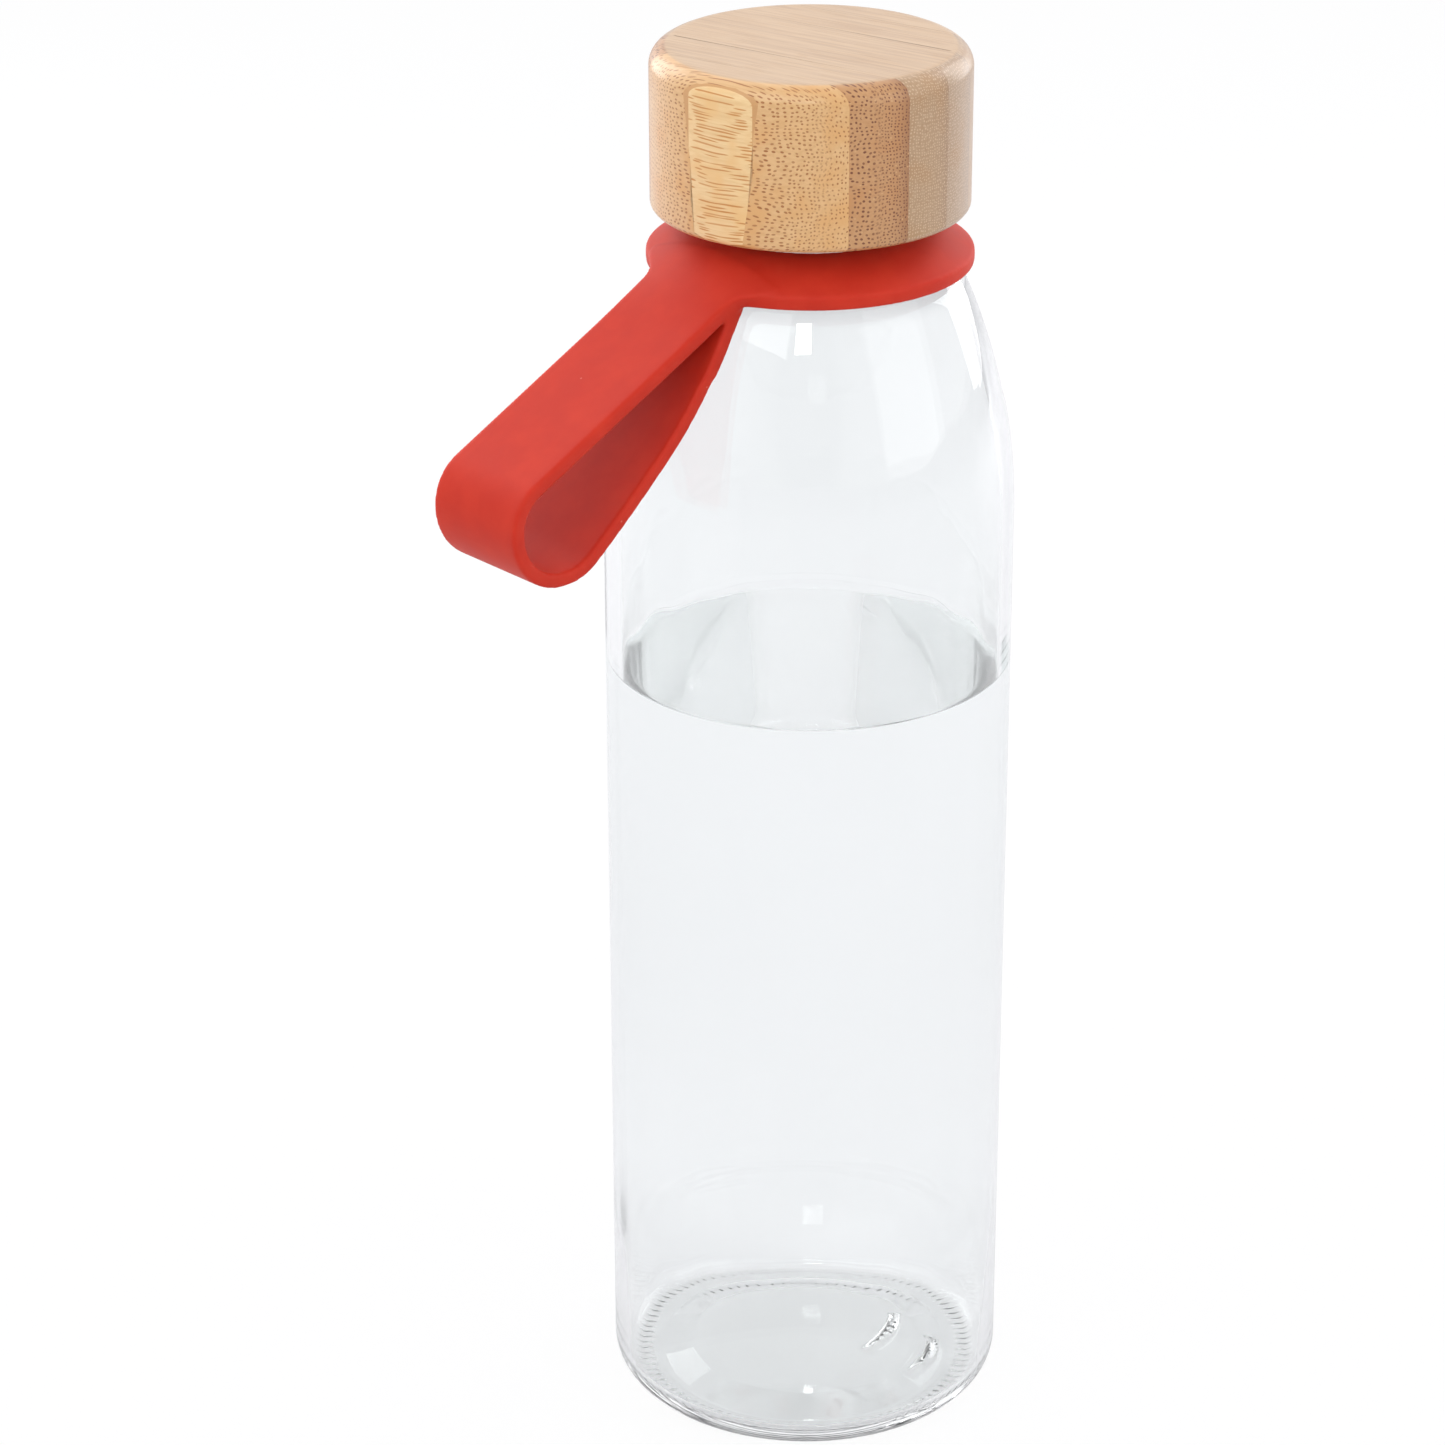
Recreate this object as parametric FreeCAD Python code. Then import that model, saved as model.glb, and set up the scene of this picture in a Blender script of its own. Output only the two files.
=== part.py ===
"""Glass water bottle with a screw cap turned from laminated bamboo and a silicone carry strap.

The bottle is one blown glass vessel with a threaded neck. The cap is a block of glued bamboo strips,
bored out for a plastic liner that carries the internal thread and a flat silicone gasket. The strap is
a silicone collar round the neck with a loop that lifts at the collar's edge.

Frame: millimetres, +Z up, origin at the centre of the base where the bottle stands. The carry loop
lies along -X and its flat width runs along Y.
"""
import FreeCAD
import Part
import math
import os

V = FreeCAD.Vector
UP = V(0, 0, 1)

# ---- glass vessel ----
body_radius = 33.0            # outside of the straight wall
wall = 2.4                    # thickness of the straight wall and the shoulder
shoulder_start = 159.0        # height where the wall starts to curve in
shoulder_radius = 93.0        # long arc of the shoulder, on the outside
crown_step = 5.06             # from the neck out to the upper end of the shoulder arc
crown_radius = 4.0            # tight turn at the top of the shoulder
slope_lean = 57.0             # degrees from vertical of the slope under the collar
heel_radius = 5.5             # round edge between wall and base
bearing_width = 3.0           # flat ring that the bottle stands on
push_up = 3.0                 # height of the hollow under the base
base_thickness = 3.4          # glass at the middle of the base
floor_dish = 3.2              # the floor's edge lies this far below its middle
punt_ring_radius = 18.5       # circular step on the underside
punt_ring_height = 1.65
punt_step = 0.35
inner_heel_radius = 2.5

# ---- neck finish ----
neck_radius = 17.8
neck_wall = 2.9
neck_fillet = 1.2             # hollow where the slope turns up into the neck
lip_radius = 1.0
lip_land = 2.9                # plain neck between the thread and the lip
bead_height = 2.0             # transfer bead that keeps the collar down
bead_projection = 1.3
bead_clearance = 0.8          # from the collar's inner edge up to the bead
thread_pitch = 4.2
thread_height = 1.1           # how far the glass ridge stands out of the neck
thread_turns = 1.5
thread_root_half = 1.3
thread_crest_half = 0.6
thread_start_above_liner = 2.4

# ---- silicone strap ----
collar_overhang = 2.94        # from the upper end of the shoulder arc out to the rim
collar_depth = 2.4            # vertical thickness
collar_grip = 0.3             # running gap between collar and neck
collar_seat_gap = 0.65        # vertical gap between the collar and the slope under it
strap_width = 19.0
strap_thickness = 2.3
tab_reach = 0.65              # how far the tab for the loop stands out of the rim
tab_fillet = 3.0
hinge_gap = 0.3
fold_drop = 1.6               # the fold line lies this far below the collar's upper face
loop_reach = 32.3             # from the fold line out to the centre of the bend
loop_drop = 26.15             # from the fold line down to the centre of the bend
bend_inner_radius = 7.25
apex_radius = 0.75            # narrow end of the finger opening
apex_out = 1.3
apex_drop = 2.8
rest_radius = 1.8             # round corner of the loop that leans on the shoulder
rest_gap = 0.5
rest_below_crown = 11.2       # along the shoulder arc, from its upper end

# ---- cap ----
cap_wall = 3.5                # bamboo outside the liner
cap_height = 25.8
cap_top_round = 3.2
cap_bottom_round = 1.2
strip_thickness = 8.5         # bamboo strips, measured across the glue lines
edge_strip_thickness = 7.4    # the strip behind the thin facing
facing_lean = 1.4             # degrees, the thin facing tapers downwards
grain_angle = 102.6           # direction of the bamboo fibres, degrees from +X
liner_wall = 1.9
liner_top = 1.5
liner_recess = 1.5            # the liner stops this far above the cap's lower face
liner_bead_gap = 0.4          # from the bead up to the liner
glue_gap = 0.1
gasket_thickness = 1.6
gasket_side_gap = 0.4
gasket_overlap = 0.5          # the gasket reaches this far inside the neck's bore
locating_ring_wall = 1.2
locating_ring_gap = 0.3
locating_ring_short = 0.4     # the ring ends this far above the gasket's sealing face
liner_thread_turns = 1.25
liner_thread_root_half = 1.2
liner_thread_crest_half = 0.5
thread_engagement_gap = 0.55  # from the neck's wall out to the liner's thread
thread_side_gap = 0.7         # from the neck's thread out to the liner's wall
thread_sink = 0.5             # a ridge starts this deep inside its wall

# ---- glass profile points that follow ----
bearing_radius = body_radius - heel_radius
shoulder_centre = (body_radius - shoulder_radius, shoulder_start)
shoulder_end_r = neck_radius + crown_step
shoulder_lean = math.degrees(math.acos((shoulder_end_r - shoulder_centre[0]) / shoulder_radius))
slope_tan = 1 / math.tan(math.radians(slope_lean))


def at_angle(centre, radius, degrees):
    """The point of a circle at an angle from the outward direction towards +Z."""
    angle = math.radians(degrees)
    return centre[0] + radius * math.cos(angle), centre[1] + radius * math.sin(angle)


shoulder_end = at_angle(shoulder_centre, shoulder_radius, shoulder_lean)
crown_centre = at_angle(shoulder_end, -crown_radius, shoulder_lean)
crown_end = at_angle(crown_centre, crown_radius, slope_lean)
fillet_centre_r = neck_radius + neck_fillet
slope_end_r = at_angle((fillet_centre_r, 0), -neck_fillet, slope_lean)[0]
slope_end_z = crown_end[1] + (crown_end[0] - slope_end_r) * slope_tan
fillet_centre = (fillet_centre_r, slope_end_z - at_angle((0, 0), -neck_fillet, slope_lean)[1])

# ---- stack of the strap, the finish and the cap ----
collar_bore = neck_radius + collar_grip
collar_radius = shoulder_end_r + collar_overhang


def collar_under(r):
    """Height of the collar's lower face at a radius: the glass slope carried on, plus the seat gap."""
    return crown_end[1] + (crown_end[0] - r) * slope_tan + collar_seat_gap


collar_top = collar_under(collar_bore) + collar_depth
bead_bottom = collar_top + bead_clearance
liner_bottom = bead_bottom + bead_height + liner_bead_gap
cap_bottom = liner_bottom - liner_recess
cap_top = cap_bottom + cap_height
thread_start = liner_bottom + thread_start_above_liner
lip_height = thread_start + thread_pitch * thread_turns + thread_root_half + lip_land
neck_bore = neck_radius - neck_wall
liner_inner = neck_radius + thread_height + thread_side_gap
liner_radius = liner_inner + liner_wall
cap_radius = liner_radius + glue_gap + cap_wall
liner_ceiling = lip_height + gasket_thickness
liner_roof = liner_ceiling + liner_top
gasket_radius = liner_inner - gasket_side_gap
gasket_hole = neck_bore - gasket_overlap

# ---- loop ----
tab_end = collar_radius + tab_reach
fold_radius = strap_thickness / 2
fold_out = tab_end + hinge_gap + fold_radius
fold = (fold_out, collar_under(fold_out) + collar_depth - fold_drop)
bend = (fold[0] + loop_reach, fold[1] - loop_drop)
apex = (fold[0] + apex_out, fold[1] - apex_drop)
rest_lean = shoulder_lean - math.degrees(rest_below_crown / shoulder_radius)
rest = at_angle(shoulder_centre, shoulder_radius + rest_gap + rest_radius, rest_lean)


class Outline:
    """A profile in the XZ plane, drawn edge by edge with radius along X and height along Z."""

    def __init__(self, r, z):
        self.start = V(r, 0, z)
        self.at = self.start
        self.edges = []

    def line(self, r, z):
        point = V(r, 0, z)
        self.edges.append(Part.LineSegment(self.at, point).toShape())
        self.at = point

    def arc(self, centre, radius, first, last):
        """Arc round centre from angle first to angle last, joined to the profile by a line."""
        points = []
        for degrees in (first, (first + last) / 2, last):
            r, z = at_angle(centre, radius, degrees)
            points.append(V(r, 0, z))
        if (points[0] - self.at).Length > 1e-6:
            self.line(points[0].x, points[0].z)
        self.edges.append(Part.Arc(*points).toShape())
        self.at = points[2]

    def through(self, middle, end):
        """Arc from here through middle to end."""
        end_point = V(end[0], 0, end[1])
        self.edges.append(Part.Arc(self.at, V(middle[0], 0, middle[1]), end_point).toShape())
        self.at = end_point

    def turned(self):
        """The solid that the closed profile makes when it turns round Z."""
        if (self.at - self.start).Length > 1e-6:
            self.line(self.start.x, self.start.z)
        return Part.Face(Part.Wire(self.edges)).revolve(V(0, 0, 0), UP, 360)


def dome_middle(r, z_edge, z_centre):
    """A point half way along the shallow arc from an edge ring to a centre height."""
    rise = z_centre - z_edge
    sphere = (r * r + rise * rise) / (2 * rise)
    half = r / 2
    return half, z_centre - sphere + math.sqrt(sphere * sphere - half * half)


def helix_ridge(wall_radius, crest_radius, root_half, crest_half, start, turns):
    """A ridge of trapezium section that climbs one pitch a turn from angle 0."""
    spine = Part.makeHelix(thread_pitch, thread_pitch * turns, wall_radius)
    outwards = 1 if crest_radius > wall_radius else -1
    sunk_radius = wall_radius - outwards * thread_sink
    corners = [
        V(sunk_radius, 0, -root_half),
        V(wall_radius, 0, -root_half),
        V(crest_radius, 0, -crest_half),
        V(crest_radius, 0, crest_half),
        V(wall_radius, 0, root_half),
        V(sunk_radius, 0, root_half),
    ]
    section = Part.makePolygon(corners + corners[:1])
    ridge = Part.Wire(spine.Edges).makePipeShell([section], True, True)
    ridge.translate(V(0, 0, start))
    return ridge


def belt(circles):
    """The outline of a tight belt round circles (r, z, radius), given clockwise."""
    count = len(circles)
    sides = []
    for index in range(count):
        r0, z0, radius0 = circles[index]
        r1, z1, radius1 = circles[(index + 1) % count]
        distance = math.hypot(r1 - r0, z1 - z0)
        along = math.atan2(z1 - z0, r1 - r0) + math.asin((radius1 - radius0) / distance)
        sides.append(math.degrees(along) + 90)
    edges = []
    for index in range(count):
        r, z, radius = circles[index]
        first = sides[index - 1]
        turn = (first - sides[index]) % 360
        points = []
        for degrees in (first, first - turn / 2, first - turn):
            x, y = at_angle((r, z), radius, degrees)
            points.append(V(x, 0, y))
        edges.append(Part.Arc(*points).toShape())
        next_r, next_z, next_radius = circles[(index + 1) % count]
        x, y = at_angle((next_r, next_z), next_radius, sides[index])
        edges.append(Part.LineSegment(points[2], V(x, 0, y)).toShape())
    return Part.Wire(edges)


def glass_vessel():
    """The vessel: base, wall, shoulder, neck, bead, lip and thread in one piece of glass."""
    outline = Outline(0, push_up)
    middle = dome_middle(punt_ring_radius, punt_ring_height, push_up)
    outline.through(middle, (punt_ring_radius, punt_ring_height))
    outline.line(punt_ring_radius + punt_step, punt_ring_height - punt_step)
    outline.line(bearing_radius - bearing_width, 0)
    outline.line(bearing_radius, 0)
    outline.arc((bearing_radius, heel_radius), heel_radius, -90, 0)
    outline.arc(shoulder_centre, shoulder_radius, 0, shoulder_lean)
    outline.arc(crown_centre, crown_radius, shoulder_lean, slope_lean)
    outline.arc(fillet_centre, neck_fillet, 180 + slope_lean, 180)
    outline.line(neck_radius, bead_bottom)
    bead_middle = (neck_radius + bead_projection, bead_bottom + bead_height / 2)
    outline.through(bead_middle, (neck_radius, bead_bottom + bead_height))
    lip_centre_z = lip_height - lip_radius
    outline.arc((neck_radius - lip_radius, lip_centre_z), lip_radius, 0, 90)
    outline.arc((neck_bore + lip_radius, lip_centre_z), lip_radius, 90, 180)
    inner_lean = shoulder_lean - math.degrees(wall / shoulder_radius)
    inner_floor_radius = body_radius - wall - inner_heel_radius
    floor_middle = push_up + base_thickness
    floor_edge = floor_middle - floor_dish
    floor_corner = (inner_floor_radius, floor_edge + inner_heel_radius)
    outline.arc(fillet_centre, neck_fillet + neck_wall, 180, 180 + slope_lean)
    outline.arc(shoulder_centre, shoulder_radius - wall, inner_lean, 0)
    outline.arc(floor_corner, inner_heel_radius, 0, -90)
    outline.through(dome_middle(inner_floor_radius, floor_edge, floor_middle), (0, floor_middle))
    crest_radius = neck_radius + thread_height
    ridge = helix_ridge(neck_radius, crest_radius, thread_root_half, thread_crest_half,
                        thread_start, thread_turns)
    return outline.turned().fuse(ridge).removeSplitter()


def glass_parts():
    """The vessel as two solids that meet at the foot of the neck: the bottle and its neck finish."""
    size = 4 * body_radius
    above_foot = Part.makeBox(size, size, size, V(-size / 2, -size / 2, fillet_centre[1]))
    vessel = glass_vessel()
    return vessel.cut(above_foot), vessel.common(above_foot)


def threaded_liner():
    """The plastic cup glued into the cap, with the internal thread and a gasket locating ring."""
    outline = Outline(liner_inner, liner_bottom)
    ring_outer = gasket_hole - locating_ring_gap
    ring_inner = ring_outer - locating_ring_wall
    ring_bottom = lip_height + locating_ring_short
    outline.line(liner_radius, liner_bottom)
    outline.line(liner_radius, liner_roof)
    outline.line(0, liner_roof)
    outline.line(0, liner_ceiling)
    outline.line(ring_inner, liner_ceiling)
    outline.line(ring_inner, ring_bottom)
    outline.line(ring_outer, ring_bottom)
    outline.line(ring_outer, liner_ceiling)
    outline.line(liner_inner, liner_ceiling)
    first_angle = 90
    start = thread_start - thread_pitch / 2 + thread_pitch * first_angle / 360
    crest_radius = neck_radius + thread_engagement_gap
    ridge = helix_ridge(liner_inner, crest_radius, liner_thread_root_half,
                        liner_thread_crest_half, start, liner_thread_turns)
    ridge.rotate(V(0, 0, 0), UP, first_angle)
    return outline.turned().fuse(ridge).removeSplitter()


def silicone_gasket():
    """The flat washer that seals the lip against the liner's ceiling."""
    foot = V(0, 0, lip_height)
    washer = Part.makeCylinder(gasket_radius, gasket_thickness, foot)
    return washer.cut(Part.makeCylinder(gasket_hole, gasket_thickness, foot))


def bamboo_block():
    """The turned outside of the cap with the bore for the liner."""
    blank = Part.makeCylinder(cap_radius, cap_height, V(0, 0, cap_bottom))
    for height, radius in ((cap_top, cap_top_round), (cap_bottom, cap_bottom_round)):
        rim = [edge for edge in blank.Edges if abs(edge.CenterOfMass.z - height) < 1e-6]
        blank = blank.makeFillet(radius, rim)
    bore_depth = liner_roof + glue_gap - cap_bottom
    return blank.cut(Part.makeCylinder(liner_radius + glue_gap, bore_depth, V(0, 0, cap_bottom)))


def beyond_glue_line(distance, lean):
    """All the space on the far side of a glue plane, at a distance from the axis at mid height."""
    size = 8 * cap_radius
    space = Part.makeBox(size, size, size, V(-size / 2, 0, -size / 2))
    space.rotate(V(0, 0, 0), V(1, 0, 0), lean)
    space.translate(V(0, distance, (cap_bottom + cap_top) / 2))
    space.rotate(V(0, 0, 0), UP, grain_angle)
    return space


def bamboo_strips():
    """The block cut along its glue planes, from the far side to the thin facing."""
    glue_lines = [(index * strip_thickness, 0) for index in range(-2, 3)]
    glue_lines.append((2 * strip_thickness + edge_strip_thickness, facing_lean))
    rest_of_block = bamboo_block()
    strips = []
    for distance, lean in glue_lines:
        space = beyond_glue_line(distance, lean)
        strips.append(rest_of_block.cut(space))
        rest_of_block = rest_of_block.common(space)
    return strips + [rest_of_block]


def strap_collar():
    """The cone-shaped collar round the neck, with the straight tab that carries the loop."""
    reach = tab_end + collar_overhang
    outline = Outline(collar_bore, collar_top)
    outline.line(reach, collar_under(reach) + collar_depth)
    outline.line(reach, collar_under(reach))
    outline.line(collar_bore, collar_under(collar_bore))
    cone = outline.turned()
    low = collar_under(reach) - collar_depth
    tall = collar_top - low + collar_depth
    disc = Part.makeCylinder(collar_radius, tall, V(0, 0, low))
    tab = Part.makeBox(tab_end, strap_width, tall, V(-tab_end, -strap_width / 2, low))
    plan = disc.fuse(tab).removeSplitter()
    rim_corner_x = -math.sqrt(collar_radius ** 2 - strap_width ** 2 / 4)
    corners = [edge for edge in plan.Edges if abs(edge.CenterOfMass.x - rim_corner_x) < 1e-3
               and abs(edge.Length - tall) < 1e-6]
    room = tab_end + rim_corner_x
    plan = plan.makeFillet(min(tab_fillet, 0.8 * room), corners)
    return cone.common(plan).removeSplitter()


def strap_loop():
    """The carry loop: a flat band that runs out, turns round a wide bend and comes back below."""
    outside = belt([(*fold, fold_radius), (*bend, bend_inner_radius + strap_thickness),
                    (*rest, rest_radius)])
    inside = belt([(*apex, apex_radius), (*bend, bend_inner_radius)])
    length = V(0, strap_width, 0)
    band = Part.Face(outside).extrude(length).cut(Part.Face(inside).extrude(length))
    band.translate(V(0, -strap_width / 2, 0))
    band.rotate(V(0, 0, 0), UP, 180)
    return band


def main():
    os.makedirs("parts", exist_ok=True)
    bottle, neck = glass_parts()
    pieces = {
        "glass_bottle": bottle,
        "glass_neck": neck,
        "threaded_liner": threaded_liner(),
        "silicone_gasket": silicone_gasket(),
        "strap_collar": strap_collar(),
        "strap_loop": strap_loop(),
    }
    for number, strip in enumerate(bamboo_strips(), 1):
        pieces[f"bamboo_strip_{number}"] = strip
    for name, shape in pieces.items():
        solids = shape.Solids
        whole = solids[0] if len(solids) == 1 else Part.makeCompound(solids)
        print(f"{name}: solids {len(solids)}, valid {whole.isValid()}, volume {whole.Volume:.1f} mm3")
        whole.exportStep(f"parts/{name}.step")
    print(f"fold line at x {-fold[0]:.3f}, z {fold[1]:.3f}")
    print(f"lip {lip_height:.3f}, cap {cap_bottom:.3f} to {cap_top:.3f}, radius {cap_radius:.3f}")
    print(f"collar top {collar_top:.3f}, liner foot {liner_bottom:.3f}")


main()
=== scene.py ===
import math

import bpy
from mathutils import Matrix, Vector


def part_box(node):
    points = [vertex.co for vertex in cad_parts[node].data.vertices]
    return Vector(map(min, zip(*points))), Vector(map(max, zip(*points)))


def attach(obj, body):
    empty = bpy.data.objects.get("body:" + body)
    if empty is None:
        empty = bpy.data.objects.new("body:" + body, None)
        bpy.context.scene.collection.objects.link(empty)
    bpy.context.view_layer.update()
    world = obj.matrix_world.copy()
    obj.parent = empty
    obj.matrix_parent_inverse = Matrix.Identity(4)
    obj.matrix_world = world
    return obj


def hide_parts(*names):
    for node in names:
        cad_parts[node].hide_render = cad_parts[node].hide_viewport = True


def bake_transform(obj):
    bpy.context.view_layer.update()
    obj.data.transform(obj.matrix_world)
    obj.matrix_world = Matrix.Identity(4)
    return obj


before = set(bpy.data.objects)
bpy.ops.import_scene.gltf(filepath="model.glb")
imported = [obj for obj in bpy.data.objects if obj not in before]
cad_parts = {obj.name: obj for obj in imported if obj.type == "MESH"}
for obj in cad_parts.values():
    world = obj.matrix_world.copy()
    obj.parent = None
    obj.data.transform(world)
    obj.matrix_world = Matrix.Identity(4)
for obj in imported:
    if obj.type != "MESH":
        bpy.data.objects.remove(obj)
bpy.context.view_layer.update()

mm = 0.001

# ---- the frame's own places ----
bottle_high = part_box("glass_bottle")[1]
neck_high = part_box("glass_neck")[1]
collar_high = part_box("strap_collar")[1]
loop_low, loop_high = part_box("strap_loop")
cap_low, cap_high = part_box("bamboo_strip_4")
liner_low, liner_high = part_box("threaded_liner")

# ---- glass vessel, as it is cast ----
body_radius = bottle_high.x
wall = 2.4 * mm
shoulder_start = 159.0 * mm
shoulder_radius = 93.0 * mm
neck_radius = 17.8 * mm
neck_wall = 2.9 * mm
crown_step = 5.06 * mm
crown_radius = 4.0 * mm
slope_lean = math.radians(57)
neck_fillet = 1.2 * mm
heel_radius = 5.5 * mm
bearing_width = 3.0 * mm
push_up = 3.0 * mm
floor_middle = 6.4 * mm
floor_edge = 3.2 * mm
inner_heel = 2.5 * mm
punt_ring = 18.5 * mm
bead_low = collar_high.z + 0.8 * mm
bead_height = 2.0 * mm
bead_projection = 1.3 * mm
lip_radius = 1.0 * mm
thread_pitch = 4.2 * mm
thread_turns = 1.5
thread_height = 1.1 * mm
thread_start = liner_low.z + 2.4 * mm
thread_root_half = 1.3 * mm
thread_crest_half = 0.6 * mm
thread_run_out = math.radians(25)
knurl_count = 96
knurl_height = 0.30 * mm
knurl_reach = 1.2 * mm
rib_depth = 0.95 * mm
rib_half_width = 0.75 * mm
wave_foot = 20 * mm
wave_fade = 15 * mm
wave_head = shoulder_start + 40 * mm
water_level = 133.0 * mm
sides = 4 * knurl_count

# ---- strap ----
strap_width = loop_high.y - loop_low.y
strap_thickness = 2.3 * mm
strap_voxel = 0.34 * mm
collar_slope = math.pi / 2 - slope_lean
collar_depth = 2.4 * mm
collar_radius = collar_high.y

# ---- bamboo cap ----
cap_radius = 25.1 * mm
top_round = 3.2 * mm
foot_round = 1.2 * mm
grain_turn = math.radians(102.6)
strip_thickness = 8.5 * mm
edge_strip = 7.4 * mm
facing_lean = math.radians(1.4)
bore_radius = 21.6 * mm
bore_roof = liner_high.z + 0.1 * mm


# =====================================================================
# Camera, floor and light
# =====================================================================

def make_camera():
    """Sets the view and returns how far it is turned round the bottle."""
    camera = bpy.data.objects.new("camera", bpy.data.cameras.new("camera"))
    bpy.context.scene.collection.objects.link(camera)
    camera.data.sensor_width = 36
    camera.data.lens = 111.48
    camera.data.clip_start = 0.01
    camera.data.clip_end = 20
    turn = math.radians(-43.43)
    aside, down, rolled = math.radians(1.197), math.radians(24.451), math.radians(-0.186)
    distance, height = 669.74 * mm, 425.24 * mm
    place = Vector((distance * math.sin(turn), -distance * math.cos(turn), height))
    heading = Matrix.Rotation(aside + turn, 4, "Z")
    tilt = Matrix.Rotation(math.pi / 2 - down, 4, "X")
    roll = Matrix.Rotation(rolled, 4, "Z")
    camera.matrix_world = Matrix.Translation(place) @ heading @ tilt @ roll
    bpy.context.scene.camera = camera
    return turn


def soft_light(name, place, width, height, power):
    """A rectangular soft box that points at the middle of the bottle."""
    lamp = bpy.data.lights.new(name, "AREA")
    lamp.shape = "RECTANGLE"
    lamp.size = width
    lamp.size_y = height
    lamp.energy = power
    holder = bpy.data.objects.new(name, lamp)
    bpy.context.scene.collection.objects.link(holder)
    holder.location = place
    aim = Vector((0, 0, 0.15)) - Vector(place)
    holder.rotation_euler = aim.to_track_quat("-Z", "Y").to_euler()
    holder.visible_camera = False


def make_world(turn):
    """A white room, a little darker behind the viewer, where the stand and the lens are."""
    world = bpy.data.worlds.new("white_room")
    bpy.context.scene.world = world
    world.use_nodes = True
    tree = world.node_tree
    tree.nodes.clear()
    output = tree.nodes.new("ShaderNodeOutputWorld")
    seen = tree.nodes.new("ShaderNodeBackground")
    room = tree.nodes.new("ShaderNodeBackground")
    mix = tree.nodes.new("ShaderNodeMixShader")
    path = tree.nodes.new("ShaderNodeLightPath")
    places = tree.nodes.new("ShaderNodeTexCoord")
    facing = tree.nodes.new("ShaderNodeVectorMath")
    shade = tree.nodes.new("ShaderNodeValToRGB")
    facing.operation = "DOT_PRODUCT"
    facing.inputs[1].default_value = (math.sin(turn), -math.cos(turn), 0.25)
    stops = shade.color_ramp.elements
    stops[0].position, stops[0].color = 0.0, (0.98, 0.98, 1.0, 1)
    stops[1].position, stops[1].color = 0.985, (0.46, 0.49, 0.48, 1)
    for position, colour in ((0.50, (0.94, 0.95, 0.95, 1)), (0.84, (0.80, 0.82, 0.82, 1)),
                             (0.93, (0.68, 0.71, 0.70, 1))):
        stops.new(position).color = colour
    seen.inputs["Color"].default_value = (1, 1, 1, 1)
    link = tree.links.new
    link(places.outputs["Generated"], facing.inputs[0])
    link(facing.outputs["Value"], shade.inputs["Fac"])
    link(shade.outputs["Color"], room.inputs["Color"])
    link(path.outputs["Is Camera Ray"], mix.inputs["Fac"])
    link(room.outputs["Background"], mix.inputs[1])
    link(seen.outputs["Background"], mix.inputs[2])
    link(mix.outputs["Shader"], output.inputs["Surface"])


def make_floor():
    """A pale floor, almost white to look at, with only a trace of a shadow."""
    bpy.ops.object.select_all(action="DESELECT")
    bpy.ops.mesh.primitive_plane_add(size=6, location=(0, 0, -0.05 * mm))
    floor = bpy.context.object
    floor.name = "floor"
    mat, tree, shader, _ = material("pale_floor")
    shader.inputs["Base Color"].default_value = (0.68, 0.675, 0.69, 1)
    shader.inputs["Roughness"].default_value = 0.9
    shader.inputs["Specular IOR Level"].default_value = 0.0
    glow = tree.nodes.new("ShaderNodeEmission")
    path = tree.nodes.new("ShaderNodeLightPath")
    both = tree.nodes.new("ShaderNodeMixShader")
    output = [n for n in tree.nodes if n.type == "OUTPUT_MATERIAL"][0]
    tree.links.new(maths(tree, "MULTIPLY", path.outputs["Is Camera Ray"], 0.88), both.inputs["Fac"])
    tree.links.new(shader.outputs["BSDF"], both.inputs[1])
    tree.links.new(glow.outputs["Emission"], both.inputs[2])
    tree.links.new(both.outputs["Shader"], output.inputs["Surface"])
    glow.inputs["Strength"].default_value = 1.02
    floor.data.materials.append(mat)


# =====================================================================
# Shared node helpers and groups
# =====================================================================

def group(name, inputs, outputs):
    """An empty node group with named sockets, and its input and output nodes."""
    tree = bpy.data.node_groups.new(name, "ShaderNodeTree")
    for label, kind, value in inputs:
        socket = tree.interface.new_socket(label, in_out="INPUT", socket_type=kind)
        if value is not None:
            socket.default_value = value
    for label, kind in outputs:
        tree.interface.new_socket(label, in_out="OUTPUT", socket_type=kind)
    return tree, tree.nodes.new("NodeGroupInput"), tree.nodes.new("NodeGroupOutput")


def maths(tree, operation, first, second=0.5, third=None, clamp=False):
    """A Math node on sockets or numbers, and its result."""
    node = tree.nodes.new("ShaderNodeMath")
    node.operation = operation
    node.use_clamp = clamp
    for socket, value in zip(node.inputs, (first, second, third)):
        if isinstance(value, (int, float)):
            socket.default_value = value
        elif value is not None:
            tree.links.new(value, socket)
    return node.outputs["Value"]


def mixed(tree, share, first, second, blend="MIX"):
    """A colour Mix node on sockets or colours, and its result."""
    node = tree.nodes.new("ShaderNodeMix")
    node.data_type = "RGBA"
    node.blend_type = blend
    for socket, value in ((node.inputs[0], share), (node.inputs[6], first), (node.inputs[7], second)):
        if isinstance(value, (int, float, tuple)):
            socket.default_value = value
        else:
            tree.links.new(value, socket)
    return node.outputs[2]


def ramp(tree, value, low, high):
    """A smooth step from 0 at low to 1 at high."""
    node = tree.nodes.new("ShaderNodeMapRange")
    node.interpolation_type = "SMOOTHSTEP"
    tree.links.new(value, node.inputs["Value"])
    node.inputs["From Min"].default_value = low
    node.inputs["From Max"].default_value = high
    return node.outputs["Result"]


def noise(tree, vector, scale, detail=3.0, rough=0.55):
    node = tree.nodes.new("ShaderNodeTexNoise")
    tree.links.new(vector, node.inputs["Vector"])
    node.inputs["Scale"].default_value = scale
    node.inputs["Detail"].default_value = detail
    node.inputs["Roughness"].default_value = rough
    return node.outputs["Fac"]


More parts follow.
